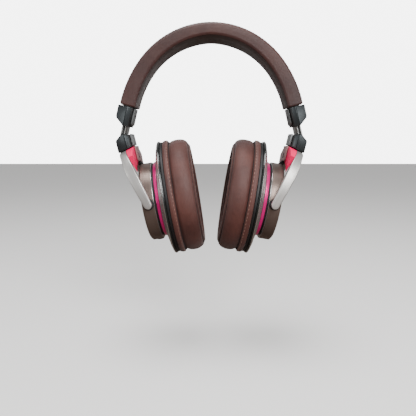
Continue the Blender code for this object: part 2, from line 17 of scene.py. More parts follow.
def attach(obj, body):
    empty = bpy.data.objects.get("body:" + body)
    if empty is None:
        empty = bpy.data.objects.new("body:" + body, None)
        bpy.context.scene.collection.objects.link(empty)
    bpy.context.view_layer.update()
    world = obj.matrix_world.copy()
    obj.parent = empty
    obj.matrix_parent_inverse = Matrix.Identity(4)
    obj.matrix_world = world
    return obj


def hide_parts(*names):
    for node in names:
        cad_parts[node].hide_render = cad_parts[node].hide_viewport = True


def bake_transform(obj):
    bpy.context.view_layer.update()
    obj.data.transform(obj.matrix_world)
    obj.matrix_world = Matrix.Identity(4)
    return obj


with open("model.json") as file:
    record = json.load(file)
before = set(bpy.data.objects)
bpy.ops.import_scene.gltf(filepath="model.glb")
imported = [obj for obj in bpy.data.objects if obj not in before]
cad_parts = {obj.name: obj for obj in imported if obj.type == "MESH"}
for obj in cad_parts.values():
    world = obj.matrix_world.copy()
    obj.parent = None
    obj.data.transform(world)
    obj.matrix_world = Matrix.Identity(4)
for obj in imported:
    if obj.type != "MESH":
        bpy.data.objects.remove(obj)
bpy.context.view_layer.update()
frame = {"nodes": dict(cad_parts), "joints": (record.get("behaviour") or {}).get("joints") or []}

MM = 0.001
JOINTS = {joint["name"]: joint for joint in frame["joints"]}
SIDES = (("left", 1), ("right", -1))

# Slider and swivel frames, as the frame's design has them.
SLIDE_POINT = (-71.6, -72.5)
SLIDE_TILT = 14.0
SWIVEL_TILT = -26.0
BLOCK_TILT = -13.0
CUP_TILT = -9.2
YOKE_DROP = 47.8
CLEARANCE = 0.4

# Headband.
CROWN_THICKNESS = 10.5
END_THICKNESS = 13.4
CROWN_RADIUS = 73.5
SIDE_RADIUS = 95.0
SHOULDER_ANGLE = 54.0
BAND_END_ANGLE = 76.0
CROWN_HALF_WIDTH = 18.5
END_HALF_WIDTH = 14.6
CROWN_COVER = 0.62  # share of the thickness above the steel core, at the crown and at the ends
END_COVER = 0.74
CORE_GAP = 1.6  # between the cover's underside and the pad's upper side
WRAP = 2.4  # thickness of the leather that wraps round the band's edges
BAND_STEPS = 84
TUCK = 1.4  # radius that the leather is rounded with at the band's ends
BAND_SEAM = (3.2, 0.32)  # a stitched row's distance from the band's edge, and its depth in the leather

# Stem.
STEM_OUTER = -2.3
STEM_INNER = 1.3
STEM_HALF_WIDTH = 10.0

# Cup: stations along its axis, from the tilt axis inwards to the ear.
DRUM_RADIUS = 32.0
DRUM_HEIGHT = 33.0
DRUM_DROP = 0.9
DRUM_BORE = 29.6
OVAL_RATIO = 7.2
SEAM_STATION = 21.7
SEAM_HEIGHT = 46.6
CUP_SEGMENTS = 128
CLOTH_FRAMES = 20


# ---------------------------------------------------------------- frames


def lean(point, tilt):
    """From a frame that stands at (x, z) and leans by tilt degrees about Y, to the part's frame, in mm."""
    return Matrix.Translation((point[0], 0, point[1])) @ Matrix.Rotation(math.radians(tilt), 4, "Y")


def joint_point(name):
    x, _, z = JOINTS[name]["pos_m"]
    return x / MM, z / MM


SLIDE = lean(SLIDE_POINT, SLIDE_TILT)
SWIVEL = lean(joint_point("left_swivel"), SWIVEL_TILT)
BLOCK = lean(joint_point("left_swivel"), BLOCK_TILT)
CUP = lean(joint_point("left_tilt"), CUP_TILT)
BAND = Matrix.Identity(4)


# ---------------------------------------------------------------- mesh tools


def smooth(share):
    share = min(1.0, max(0.0, share))
    return share * share * (3 - 2 * share)


def fillet(corners, steps=5):
    """Points round a closed outline of (x, y, radius) corners, each corner rounded off."""
    points = []
    count = len(corners)
    for i, (x, y, radius) in enumerate(corners):
        here = Vector((x, y))
        if not radius:
            points.append(here)
            continue
        back = Vector(corners[i - 1][:2]) - here
        ahead = Vector(corners[(i + 1) % count][:2]) - here
        reach = radius / math.tan(max(0.05, back.angle(ahead) / 2))
        start = here + back.normalized() * min(reach, 0.48 * back.length)
        end = here + ahead.normalized() * min(reach, 0.48 * ahead.length)
        for k in range(steps + 1):
            t = k / steps
            points.append(start * (1 - t) ** 2 + here * 2 * t * (1 - t) + end * t * t)
    return points


def written(bm, data):
    """What was drawn, as a mesh: an existing one, or a new one if only its name is given."""
    if isinstance(data, str):
        data = bpy.data.meshes.new(data)
    bm.to_mesh(data)
    bm.free()
    return data


def loft(name, rings, closed=False):
    """Skins closed rings of points. UVs are the share of a turn round a ring, and metres along the loft."""
    bm = bmesh.new()
    uv = bm.loops.layers.uv.new("UVMap")
    count = len(rings[0])
    made = [[bm.verts.new(p) for p in ring] for ring in rings]
    along = [0.0]
    for low, high in zip(rings, rings[1:] + rings[:1]):
        along.append(along[-1] + (Vector(high[0]) - Vector(low[0])).length * MM)
    last = len(rings) if closed else len(rings) - 1
    for r in range(last):
        low, high = made[r], made[(r + 1) % len(rings)]
        for i in range(count):
            j = (i + 1) % count
            face = bm.faces.new((low[i], low[j], high[j], high[i]))
            corners = ((i, r), (i + 1, r), (i + 1, r + 1), (i, r + 1))
            for loop, (a, b) in zip(face.loops, corners):
                loop[uv].uv = (a / count, along[b])
    if not closed:
        bm.faces.new(made[0])
        bm.faces.new(list(reversed(made[-1])))
    bmesh.ops.recalc_face_normals(bm, faces=bm.faces)
    return written(bm, name)


def turned(name, corners, width=None, segments=CUP_SEGMENTS, steps=5, drop=None):
    """A ring round the X axis from a closed outline of (station, radius, rounding) corners.

    width(radius) gives the half width of an oval ring whose half height is that radius, and drop(radius) how
    far its centre lies below the axis.
    """
    outline = fillet(corners, steps)
    rings = []
    for i in range(segments):
        turn = 2 * math.pi * i / segments
        s, c = math.sin(turn), math.cos(turn)
        ring = []
        for x, r in outline:
            ring.append((x, (width(r) if width else r) * s, r * c - (drop(r) if drop else 0)))
        rings.append(ring)
    return loft(name, rings, closed=True)


def disc(name, stations, width=None, segments=CUP_SEGMENTS):
    """A solid disc round the X axis from (station, radius) points that start and end near the axis."""
    rings = []
    for x, r in stations:
        turns = [2 * math.pi * i / segments for i in range(segments)]
        w = width(r) if width else r
        rings.append([(x, w * math.sin(t), r * math.cos(t)) for t in turns])
    return loft(name, rings)


def extruded(name, outline, half_width):
    """A closed outline in X and Z, extruded both ways along Y."""
    rings = [[(x, y, z) for x, z in outline] for y in (-half_width, half_width)]
    return loft(name, rings)


def bevelled(data, width, segments=3, angle=18.0):
    """Rounds every edge that turns by more than an angle."""
    bm = bmesh.new()
    bm.from_mesh(data)
    sharp = [e for e in bm.edges if e.is_manifold and e.calc_face_angle(0) > math.radians(angle)]
    bmesh.ops.bevel(
        bm, geom=sharp, offset=width, segments=segments, profile=0.5, affect="EDGES", clamp_overlap=True
    )
    return written(bm, data)


def sliced(data, point, normal):
    """Cuts away what lies on the normal's side of a plane, and closes the cut."""
    bm = bmesh.new()
    bm.from_mesh(data)
    geometry = bm.verts[:] + bm.edges[:] + bm.faces[:]
    cut = bmesh.ops.bisect_plane(bm, geom=geometry, plane_co=point, plane_no=normal, clear_outer=True)
    edges = [e for e in cut["geom_cut"] if isinstance(e, bmesh.types.BMEdge)]
    bmesh.ops.edgeloop_fill(bm, edges=edges)
    bmesh.ops.recalc_face_normals(bm, faces=bm.faces)
    return written(bm, data)


def applied(body):
    """The body's mesh with its modifiers applied. The body itself is removed."""
    bpy.context.view_layer.update()
    graph = bpy.context.evaluated_depsgraph_get()
    made = bpy.data.meshes.new_from_object(body.evaluated_get(graph))
    bpy.data.objects.remove(body)
    return made


def linked(name, data):
    made = bpy.data.objects.new(name, data)
    bpy.context.scene.collection.objects.link(made)
    return made


def carved(data, *cutters):
    """A mesh with the cutters' meshes taken out of it."""
    body = linked("carving", data)
    tools = [linked("cutter", cutter) for cutter in cutters]
    for tool in tools:
        cut = body.modifiers.new("cut", "BOOLEAN")
        cut.operation = "DIFFERENCE"
        cut.solver = "EXACT"
        cut.object = tool
    made = applied(body)
    for tool in tools:
        bpy.data.objects.remove(tool)
    return made


def joined(name, *parts):
    """Several meshes as one."""
    bm = bmesh.new()
    for part in parts:
        bm.from_mesh(part)
    return written(bm, name)


def put(name, data, matrix, body, materials, side=1, replaces=(), sharp=35.0):
    """One piece of the object: its mesh in metres in the part's frame, riding on a body if one is given."""
    data = data.copy()
    whole = Matrix.Scale(MM, 4) @ Matrix.Scale(side, 4, (1, 0, 0)) @ matrix
    data.transform(whole)
    if whole.determinant() < 0:
        data.flip_normals()
    finishes = [face.material_index for face in data.polygons]
    data.materials.clear()
    for look in materials if isinstance(materials, (list, tuple)) else [materials]:
        data.materials.append(look)
    data.polygons.foreach_set("material_index", finishes)
    data.shade_smooth()
    if sharp:
        data.set_sharp_from_angle(angle=math.radians(sharp))
    piece = linked(name, data)
    piece.data.name = name
    if body:
        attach(piece, body)
    if replaces:
        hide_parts(*replaces)
    return piece


def sided(side, name, data, matrix, body, materials, replaced=None, sharp=35.0):
    """A piece of one side, whose name and the name of the CAD part that it replaces both end in the side."""
    taken = [f"{replaced}_{side}"] if replaced else ()
    return put(f"{name}_{side}", data, matrix, body, materials, dict(SIDES)[side], taken, sharp)


# ---------------------------------------------------------------- materials


def rgb(text):
    """Linear colour from a hexadecimal sRGB one."""
    values = [int(text[i : i + 2], 16) / 255 for i in (0, 2, 4)]
    return (*[v / 12.92 if v <= 0.04045 else ((v + 0.055) / 1.055) ** 2.4 for v in values], 1.0)


def blank(name, colour, roughness, metallic=0.0, **sockets):
    """A material whose shader's own sockets are set. Returns it with its tree and shader."""
    made = bpy.data.materials.new(name)
    made.use_nodes = True
    shader = made.node_tree.nodes["Principled BSDF"]
    shader.inputs["Base Color"].default_value = colour
    shader.inputs["Roughness"].default_value = roughness
    shader.inputs["Metallic"].default_value = metallic
    for key, value in sockets.items():
        shader.inputs[key.replace("_", " ")].default_value = value
    made.diffuse_color = colour
    return made, made.node_tree, shader


def node(tree, kind, inputs=(), **settings):
    """A node with its settings, and its inputs linked or set from (input, socket or value) pairs."""
    made = tree.nodes.new(kind)
    for key, value in settings.items():
        setattr(made, key, value)
    for key, value in inputs:
        if isinstance(value, bpy.types.NodeSocket):
            tree.links.new(value, made.inputs[key])
        else:
            made.inputs[key].default_value = value
    return made


def place_of(tree, kind="Object", scale=(1, 1, 1)):
    source = node(tree, "ShaderNodeTexCoord").outputs[kind]
    return node(tree, "ShaderNodeMapping", [("Vector", source), ("Scale", scale)]).outputs["Vector"]


def noise(tree, vector, scale, detail=4.0, roughness=0.55):
    inputs = [("Vector", vector), ("Scale", scale), ("Detail", detail), ("Roughness", roughness)]
    return node(tree, "ShaderNodeTexNoise", inputs).outputs["Fac"]


def ranged(tree, value, low, high, start=0.0, end=1.0):
    inputs = [("Value", value), ("From Min", start), ("From Max", end), ("To Min", low), ("To Max", high)]
    return node(tree, "ShaderNodeMapRange", inputs).outputs["Result"]


def mixed(tree, factor, first, second):
    inputs = [(0, factor), (6, first), (7, second)]
    return node(tree, "ShaderNodeMix", inputs, data_type="RGBA").outputs[2]


def summed(tree, first, second, weight):
    inputs = [(0, second), (1, weight), (2, first)]
    return node(tree, "ShaderNodeMath", inputs, operation="MULTIPLY_ADD").outputs[0]


def bump(tree, shader, height, strength, distance):
    inputs = [("Strength", strength), ("Distance", distance), ("Height", height)]
    made = node(tree, "ShaderNodeBump", inputs)
    tree.links.new(made.outputs["Normal"], shader.inputs["Normal"])


def leather(name, light, dark):
    """Soft sheep leather: pebble grain, fine creases and a slow change of tone."""
    sheen = {"Sheen_Weight": 0.12, "Sheen_Roughness": 0.4}
    made, tree, shader = blank(name, light, 0.5, Specular_IOR_Level=0.42, **sheen)
    where = place_of(tree)
    warp = node(tree, "ShaderNodeTexNoise", [("Vector", where), ("Scale", 160.0), ("Detail", 3.0)])
    inputs = [(0, warp.outputs["Color"]), ("Scale", 0.0016)]
    bent = node(tree, "ShaderNodeVectorMath", inputs, operation="SCALE")
    inputs = [(0, where), (1, bent.outputs[0])]
    where_bent = node(tree, "ShaderNodeVectorMath", inputs, operation="ADD").outputs[0]
    inputs = [("Vector", where_bent), ("Scale", 950.0)]
    cells = node(tree, "ShaderNodeTexVoronoi", inputs, feature="DISTANCE_TO_EDGE")
    grain = ranged(tree, cells.outputs["Distance"], 0.0, 1.0, 0.0, 0.16)
    creases = noise(tree, place_of(tree, scale=(1.0, 0.45, 1.0)), 210.0, 6.0, 0.62)
    height = summed(tree, grain, creases, 0.7)
    bump(tree, shader, height, 0.34, 0.00022)
    tone = ranged(tree, noise(tree, where, 24.0, 5.0), 0.0, 1.0, 0.36, 0.68)
    pores = ranged(tree, grain, 0.72, 1.0)
    colour = mixed(tree, tone, dark, light)
    shaded = node(
        tree, "ShaderNodeMix", [(0, 1.0), (6, colour), (7, pores)], data_type="RGBA", blend_type="MULTIPLY"
    )
    tree.links.new(shaded.outputs[2], shader.inputs["Base Color"])
    tree.links.new(ranged(tree, creases, 0.42, 0.62), shader.inputs["Roughness"])
    return made


def brushed(name, colour, roughness, metallic, grain, depth=0.00004, **sockets):
    """Metal with a directional grain along the UVs: grain is (scale round, scale along)."""
    made, tree, shader = blank(name, colour, roughness, metallic, **sockets)
    streaks = noise(tree, place_of(tree, "UV", (*grain, 1.0)), 1.0, 3.0, 0.7)
    blotches = noise(tree, place_of(tree), 55.0, 3.0)
    bump(tree, shader, streaks, 0.35, depth)
    gloss = ranged(tree, streaks, roughness - 0.09, roughness + 0.09, 0.3, 0.7)
    tree.links.new(gloss, shader.inputs["Roughness"])
    darker = tuple(c * 0.8 for c in colour[:3]) + (1.0,)
    both = summed(tree, blotches, streaks, 0.6)
    colours = mixed(tree, ranged(tree, both, 0.0, 1.0, 0.5, 1.1), darker, colour)
    tree.links.new(colours, shader.inputs["Base Color"])
    return made


def satin(name, colour, roughness, metallic, scale=1400.0, depth=0.00005, **sockets):
    """A blasted, lacquered or moulded surface with a fine even texture and faint handling marks."""
    made, tree, shader = blank(name, colour, roughness, metallic, **sockets)
    where = place_of(tree)
    fine = noise(tree, where, scale, 2.0)
    marks = noise(tree, where, 42.0, 6.0, 0.68)
    bump(tree, shader, fine, 0.25, depth)
    gloss = ranged(tree, marks, roughness - 0.07, roughness + 0.1, 0.35, 0.7)
    tree.links.new(gloss, shader.inputs["Roughness"])
    darker = tuple(c * 0.82 for c in colour[:3]) + (1.0,)
    colours = mixed(tree, ranged(tree, marks, 0.0, 1.0, 0.3, 0.65), darker, colour)
    tree.links.new(colours, shader.inputs["Base Color"])
    return made


def weave(name, light, dark, scale=1500.0):
    """Thin speaker cloth: two crossed sets of threads."""
    made, tree, shader = blank(name, light, 0.85, Sheen_Weight=0.3)
    where = place_of(tree)
    sets = []
    for axis in ("Y", "Z"):
        bands = [("Vector", where), ("Scale", scale / 6.283), ("Distortion", 0.3)]
        sets.append(node(tree, "ShaderNodeTexWave", bands, bands_direction=axis).outputs["Fac"])
    crossed = node(tree, "ShaderNodeMath", [(0, sets[0]), (1, sets[1])], operation="MULTIPLY").outputs[0]
    bump(tree, shader, crossed, 0.6, 0.0002)
    tree.links.new(mixed(tree, crossed, dark, light), shader.inputs["Base Color"])
    return made


BAND_LEATHER = leather("band_leather", rgb("472924"), rgb("331a18"))
# A darker copy of the band's leather for the underside's cushion: painted shade.
UNDERSIDE_SHADE_LEATHER = leather("underside_painted_shade_leather", rgb("3c2622"), rgb("2a1714"))
PAD_LEATHER = leather("pad_leather", rgb("5c352e"), rgb("42221d"))
# A near-black brown for the cords in the pad's seam and pressed channel: painted shadow.
SEAM = satin("seam_shadow", rgb("1a0c0a"), 0.8, 0.0)
THREAD = satin("thread", rgb("96766a"), 0.7, 0.0)
BAND_THREAD = satin("band_thread", rgb("5a342d"), 0.7, 0.0)
SLATE = satin("slate_lacquer", rgb("34393b"), 0.33, 0.6)
PLATE = satin("grey_plate", rgb("686a6a"), 0.42, 0.5)
STEEL = brushed("brushed_steel", rgb("a5a5a3"), 0.34, 1.0, (40.0, 30.0))
SILVER = brushed("satin_aluminium", rgb("bfbdba"), 0.4, 0.85, (70.0, 25.0))
TAUPE = brushed("taupe_anodised", rgb("776861"), 0.38, 0.8, (260.0, 8.0))
FROST = brushed("grey_anodised", rgb("969390"), 0.34, 0.7, (260.0, 8.0))
GLOSS = satin("black_lacquer", rgb("0f1211"), 0.24, 0.0)
BRIGHT = brushed("bright_edge", rgb("c4c4c2"), 0.24, 0.95, (260.0, 8.0))
MAGENTA = brushed("magenta_anodised", rgb("ec1c88"), 0.3, 0.5, (200.0, 6.0), Coat_Weight=0.4)
RED = satin("crimson_lacquer", rgb("f4005a"), 0.5, 0.0, Specular_IOR_Level=0.2)
# A dark red painted as the shade under the rib.
RED_PAINTED_SHADE = satin("wine_shadow_side", rgb("2c0810"), 0.6, 0.0)
# The rose plate's colour, also painted on the rib's far inner faces as shade and reflected red.
ROSE = satin("rose_plate", rgb("96706f"), 0.45, 0.3)
BLACK = satin("black_moulding", rgb("0c0c0e"), 0.5, 0.0)
RUBBER = satin("black_rubber", rgb("101012"), 0.62, 0.0, 900.0)
CLOTH = weave("speaker_cloth", rgb("3a2b28"), rgb("120c0b"))
BOARD = satin("green_board", rgb("1d5a34"), 0.5, 0.0)
FILM = satin("diaphragm_film", rgb("8f8f92"), 0.3, 0.2)


# ---------------------------------------------------------------- headband


def band_share(angle):
    return min(1.0, abs(angle) / BAND_END_ANGLE)


def band_surface(angle):
    """x and z of the band's outer surface, where its normal leans by angle degrees from straight up."""
    side = math.copysign(1, angle)
    turn = math.radians(min(abs(angle), SHOULDER_ANGLE))
    x = CROWN_RADIUS * math.sin(turn)
    z = CROWN_THICKNESS - CROWN_RADIUS * (1 - math.cos(turn))
    if abs(angle) > SHOULDER_ANGLE:
        full = math.radians(abs(angle))
        x += SIDE_RADIUS * (math.sin(full) - math.sin(turn))
        z += SIDE_RADIUS * (math.cos(full) - math.cos(turn))
    return side * x, z


def band_thickness(angle):
    return CROWN_THICKNESS + (END_THICKNESS - CROWN_THICKNESS) * band_share(angle)


def cover_depth(angle):
    """How far below the outer surface the steel core's space starts."""
    return (CROWN_COVER + (END_COVER - CROWN_COVER) * band_share(angle)) * band_thickness(angle)


def band_half_width(angle):
    return CROWN_HALF_WIDTH + (END_HALF_WIDTH - CROWN_HALF_WIDTH) * smooth(band_share(angle))


def band_point(angle, y, depth):
    """A point of the headband: y across it and depth below its outer surface."""
    x, z = band_surface(angle)
    turn = math.radians(angle)
    return x - depth * math.sin(turn), y, z - depth * math.cos(turn)


def band_angles():
    """Angles along the band, closer together at its rounded ends."""
    middle = [BAND_END_ANGLE * (2 * i / BAND_STEPS - 1) for i in range(1, BAND_STEPS)]
    ends = [BAND_END_ANGLE - d for d in (0.0, 0.08, 0.25, 0.5, 0.85, 1.3)]
    return sorted([-a for a in ends] + middle + ends)


def tuck(angle):
    """How far the leather is drawn in near the band's end."""
    left = (BAND_END_ANGLE - abs(angle)) * math.radians(1) * SIDE_RADIUS
    reach = min(1.0, left / TUCK)
    return TUCK * (1 - math.sqrt(max(0.0, 1 - (1 - reach) ** 2)))


def band_loft(name, section):
    rings = []
    for angle in band_angles():
        outline = fillet(section(angle), 4)
        rings.append([band_point(angle, y, depth) for y, depth in outline])
    return loft(name, rings)


def cover_section(angle):
    """The leather cover: padded over the top and the edges, and wrapped round to the underside."""
    draw = tuck(angle)
    half = band_half_width(angle) - draw
    thickness = band_thickness(angle) - draw
    inner = half - WRAP
    right = [(inner, cover_depth(angle), 0.3), (inner, thickness - 0.5, 0.5)]
    right += [(half - 1.1, thickness - 0.1, 1.0), (half - 0.05, thickness - 2.0, 1.6)]
    right += [(half + 0.15, thickness * 0.5, 4.0), (half, 2.5 + draw, 1.6)]
    right += [(half - 1.6, 0.5 + draw, 1.6), (half * 0.55, draw, 7.0)]
    return right + [(-y, depth, radius) for y, depth, radius in reversed(right)]


def pad_section(angle):
    """The underside's cushion: full in the middle and sewn in between the cover's edges."""
    draw = tuck(angle)
    half = band_half_width(angle) - draw - WRAP - 0.15
    thickness = band_thickness(angle) - draw
    top = cover_depth(angle) + CORE_GAP
    right = [(half, top, 0.3), (half, thickness - 1.3, 0.3), (half - 1.2, thickness - 0.5, 0.8)]
    right += [(half * 0.5, thickness + 0.1, 5.0)]
    return right + [(-y, depth, radius) for y, depth, radius in reversed(right)]


def stem_space(bottom, top, clearance):
    """The stem's own space, with a clearance, in the slider's frame."""
    outer, inner = STEM_OUTER - clearance, STEM_INNER + clearance
    outline = ((outer, bottom), (inner, bottom), (inner, top), (outer, top))
    return extruded("space", outline, STEM_HALF_WIDTH + clearance)


def headband():
    cover = band_loft("headband_leather", cover_section)
    pockets = []
    for _, mirror in SIDES:
        pocket = stem_space(-20.0, 41.4, CLEARANCE)
        pocket.transform(Matrix.Scale(mirror, 4, (1, 0, 0)) @ SLIDE)
        if mirror < 0:
            pocket.flip_normals()
        pockets.append(pocket)
    cover = carved(cover, *pockets)
    put("headband_leather", cover, BAND, "headband", BAND_LEATHER, 1, ["headband_cover"])
    pad = band_loft("headband_cushion", pad_section)
    # The cushion's darker leather is painted shade on the band's underside.
    pad = put("headband_cushion", pad, BAND, "headband", UNDERSIDE_SHADE_LEATHER, 1, ["headband_pad"])
    rows = []
    for edge in (-1, 1):
        row = []
        for k in range(0, 400):
            angle = BAND_END_ANGLE * (k / 199.5 - 1) * 0.975
            y = edge * (band_half_width(angle) - BAND_SEAM[0])
            row.append(Vector(band_point(angle, y, BAND_SEAM[1])))
        rows.append(row)
    put("headband_stitches", stitches(rows), BAND, "headband", BAND_THREAD, 1, ())


def stitches(rows, pitch=3.0, length=2.0, radius=0.2):
    """Small thread stitches along rows of points, as one mesh."""
    bm = bmesh.new()
    for row in rows:
        travelled, due = 0.0, pitch / 2
        for a, b in zip(row, row[1:]):
            travelled += (b - a).length
            if travelled < due:
                continue
            due += pitch
            along = (b - a).normalized()
            across = along.orthogonal().normalized()
            other = along.cross(across)
            rings = []
            for share in (-1.0, -0.8, 0.0, 0.8, 1.0):
                size = radius * (0.35 if abs(share) == 1 else 1.0)
                middle = (a + b) / 2 + along * share * length / 2
                turns = [math.pi * k / 3 for k in range(6)]
                ring = [middle + (across * math.cos(t) + other * math.sin(t)) * size for t in turns]
                rings.append([bm.verts.new(p) for p in ring])
            for low, high in zip(rings, rings[1:]):
                for i in range(6):
                    bm.faces.new((low[i], low[(i + 1) % 6], high[(i + 1) % 6], high[i]))
            bm.faces.new(rings[0])
            bm.faces.new(list(reversed(rings[-1])))
    bmesh.ops.recalc_face_normals(bm, faces=bm.faces)
    return written(bm, "stitches")


# ---------------------------------------------------------------- slider, end cap and hinge block


def ridged_bar(name, corners, bottom, top):
    """A bar along Z from (x, half width) corners on its back, mirrored to its front."""
    section = corners + [(x, -y) for x, y in reversed(corners)]
    rings = [[(x, y, z) for x, y in section] for z in (bottom, top)]
    return loft(name, rings)


def notched(outer, ridge, inner, widths):
    """Corners of a bar with a dark parting groove along its ridge."""
    face, peak, back = widths
    groove, deep = 0.32, 1.0
    return [
        (outer, face),
        (ridge - groove, peak - 0.1),
        (ridge - 0.7 * groove, peak - deep),
        (ridge + 0.7 * groove, peak - deep),
        (ridge + groove, peak - 0.1),
        (inner, back),
    ]


def planes_cut(bar, planes):
    for point, normal in planes:
        bar = sliced(bar, point, normal)
    return bar


def shell_and_liner(bar_of, cuts, margins, carve):
    """A lacquered shell, and the black liner that shows along its lower, upper and inner edges.

    bar_of(narrowing) draws the bar. cuts are the planes that shape it, as (point, normal), and each plane
    moves inwards by its margin for the shell. carve() draws the space that the stem slides in.
    """
    raised = []
    for (point, normal), gap in zip(cuts, margins):
        normal = Vector(normal).normalized()
        raised.append((Vector(point) - normal * gap, normal))
    shell = planes_cut(bar_of(0.0), raised)
    liner = planes_cut(bar_of(0.3), cuts)
    liner = carved(liner, carve(), shell.copy())
    shell = carved(bevelled(shell, 0.35), carve())
    return shell, bevelled(liner, 0.08, 1, 40)


def end_cap():
    def bar_of(narrow):
        widths = (8.5 - narrow, 14.0 - narrow, 12.0 - narrow)
        return ridged_bar("end_cap", notched(-9.3 + narrow, -1.0, 3.2, widths), 2.2, 18.1)

    run = Vector((7.7, 0, -5.4))  # along the slanted underside, from the outer face
    cuts = [((-9.3, 0, 7.6), (run.z, 0, -run.x)), ((0, 0, 2.2), (0, 0, -1)), ((3.2, 0, 0), (1, 0, 0))]
    cuts.append(((0, 0, 18.1), (0, 0, 1)))
    return shell_and_liner(bar_of, cuts, (0.75, 0.75, 0.8, 0.3), lambda: stem_space(-3.0, 24.0, CLEARANCE))


def hinge_block():
    def bar_of(narrow):
        widths = (8.5 - narrow, 14.0 - narrow, 12.0 - narrow)
        return ridged_bar("hinge_block", notched(-6.7 + narrow, 2.0, 5.6, widths), -10.0, 13.4)

    def socket():
        space = stem_space(-6.8, 8.0, 0.3)
        space.transform(BLOCK.inverted() @ SLIDE)
        return space

    rise = Vector((7.3, 0, 4.6))  # along the slanted top, up to its peak
    fall = Vector((5.0, 0, -2.2))  # and down again to the inner face
    down = (BLOCK.inverted() @ SWIVEL).to_3x3() @ Vector((0, 0, -1))
    cuts = [((-6.7, 0, 8.8), (-rise.z, 0, rise.x)), ((0.6, 0, 13.4), (-fall.z, 0, fall.x))]
    cuts += [((0, 0, 0), down), ((5.6, 0, 0), (1, 0, 0))]
    return shell_and_liner(bar_of, cuts, (0.5, 0.8, 0.6, 0.5), socket)


def cover_plate(name, x, thickness, bottom, top, half_width, corner):
    """A plate on the inner side, with its two lower corners rounded and every edge softened."""
    right = [(half_width, top, 0.6), (half_width, bottom, corner)]
    outline = fillet(right + [(-y, z, radius) for y, z, radius in reversed(right)], 6)
    rings = [[(x + dx, y, z) for y, z in outline] for dx in (0, thickness)]
    return bevelled(loft(name, rings), 0.4, angle=50)


def screw(x, z, radius=2.5):
    """A countersunk screw whose head looks along +X, with a cross recess."""
    profile = [(x, 0.01), (x, radius - 0.35), (x - 0.35, radius), (x - 1.0, radius), (x - 1.0, 0.01)]
    head = disc("screw", profile, segments=40)
    head.transform(Matrix.Translation((0, 0, z)))
    arms = []
    for wide, tall in ((0.32, 1.5), (1.5, 0.32)):
        low, high = z - tall, z + tall
        arms.append(extruded("arm", ((x - 0.6, low), (x + 0.5, low), (x + 0.5, high), (x - 0.6, high)), wide))
    return carved(head, *arms)


def well(x, z, radius, depth):
    """A round hole from the +X side, as a cutter."""
    profile = [(x - depth, 0.01), (x - depth, radius), (x + 1.0, radius), (x + 1.0, 0.01)]
    made = disc("well", profile, segments=48)
    made.transform(Matrix.Translation((0, 0, z)))
    return made


def stem():
    """The steel stem: a deep slot along each edge parts its two leaves, and its outer face has dimples."""
    deep = 2.4
    half = STEM_HALF_WIDTH
    right = [(STEM_OUTER, half, 0.2), (-1.15, half, 0.15), (-1.05, half - deep, 0), (0.45, half - deep, 0)]
    right += [(0.55, half, 0.15), (STEM_INNER, half, 0.25)]
    section = fillet(right + [(x, -y, radius) for x, y, radius in reversed(right)], 2)
    bar = loft("stem", [[(x, y, z) for x, y in section] for z in (-6.5, 36.0)])
    dimples = []
    for k in range(9):
        start = STEM_OUTER - 0.4
        profile = [(start, 0.01), (start, 0.9), (STEM_OUTER + 0.35, 0.6), (STEM_OUTER + 0.35, 0.01)]
        dimple = disc("dimple", profile, segments=16)
        dimple.transform(Matrix.Translation((0, 0, 4.0 + 3.0 * k)))
        dimples.append(dimple)
    return carved(bar, *dimples)


def stem_slot():
    """The black guide strips at the bottom of the stem's slots."""
    strips = []
    for edge in (-1, 1):
        strip = extruded("strip", ((-1.0, -6.4), (0.4, -6.4), (0.4, 35.9), (-1.0, 35.9)), 0.5)
        strip.transform(Matrix.Translation((0, edge * (STEM_HALF_WIDTH - 1.7), 0)))
        strips.append(strip)
    return joined("stem_guides", *strips)


def block_plate():
    """The block's inner plate, whose upper edge is rounded over."""
    outline = fillet([(5.9, 2.1, 0.3), (7.7, 2.1, 0.5), (7.7, 11.9, 1.5), (5.9, 11.9, 0.3)], 6)
    return bevelled(extruded("block_plate", outline, 7.5), 0.3, angle=50)


def sliders():
    cap, cap_liner = end_cap()
    block, block_liner = hinge_block()
    bar, guides = stem(), stem_slot()
    cap_plate = carved(cover_plate("cap_plate", 3.5, 1.5, 3.8, 17.9, 7.0, 2.6), well(5.0, 10.6, 2.1, 1.0))
    inner_plate = block_plate()
    cap_screw = screw(4.6, 10.6, 1.9)
    for side, _ in SIDES:
        fixed, slides = "headband", f"{side}_slider"
        sided(side, "end_cap_shell", cap, SLIDE, fixed, SLATE, "end_cap")
        sided(side, "end_cap_liner", cap_liner, SLIDE, fixed, BLACK)
        sided(side, "cap_cover", cap_plate, SLIDE, fixed, PLATE, "cap_plate")
        sided(side, "cap_screw", cap_screw, SLIDE, fixed, BLACK)
        sided(side, "slider_stem", bar, SLIDE, slides, STEEL, "stem")
        sided(side, "stem_guides", guides, SLIDE, slides, BLACK)
        sided(side, "block_shell", block, BLOCK, slides, SLATE, "hinge_block")
        sided(side, "block_liner", block_liner, BLOCK, slides, BLACK)
        sided(side, "block_cover", inner_plate, BLOCK, slides, PLATE, "hinge_plate")


# ---------------------------------------------------------------- yoke

ARM_HALF = 3.3
ARM_INNER = 34.2
ARM_OUTER = 37.8
ARCH_INNER = 38.0
ARCH_OUTER = 47.45
INNER_FULLNESS = 0.84  # below 1, the arch is fuller than an ellipse
OUTER_FULLNESS = 0.68
BOW_START = 35.0  # degrees from the crossbar's middle, where the arms start to bow out
SHOULDER_OUT = 2.4  # how much the crossbar is thicker outwards, and thinner inwards, than the arms
SHOULDER_IN = 3.0
RIB_INNER = 34.4
RIB_SPAN = 38.0
RIB_PAINTED_SHADE_UNDERSIDE = 2  # places in the rib's list of materials: a dark red painted as shade on the underside, and the rose painted as shade and reflected red on the far inner faces
RIB_FAR_SHADE_AND_REFLECTION = 1
HOLE_LEVEL = -8.6  # height of the round hole in the rib's plate


def crown_share(turn):
    return max(0.0, math.cos(math.radians(turn))) ** 3


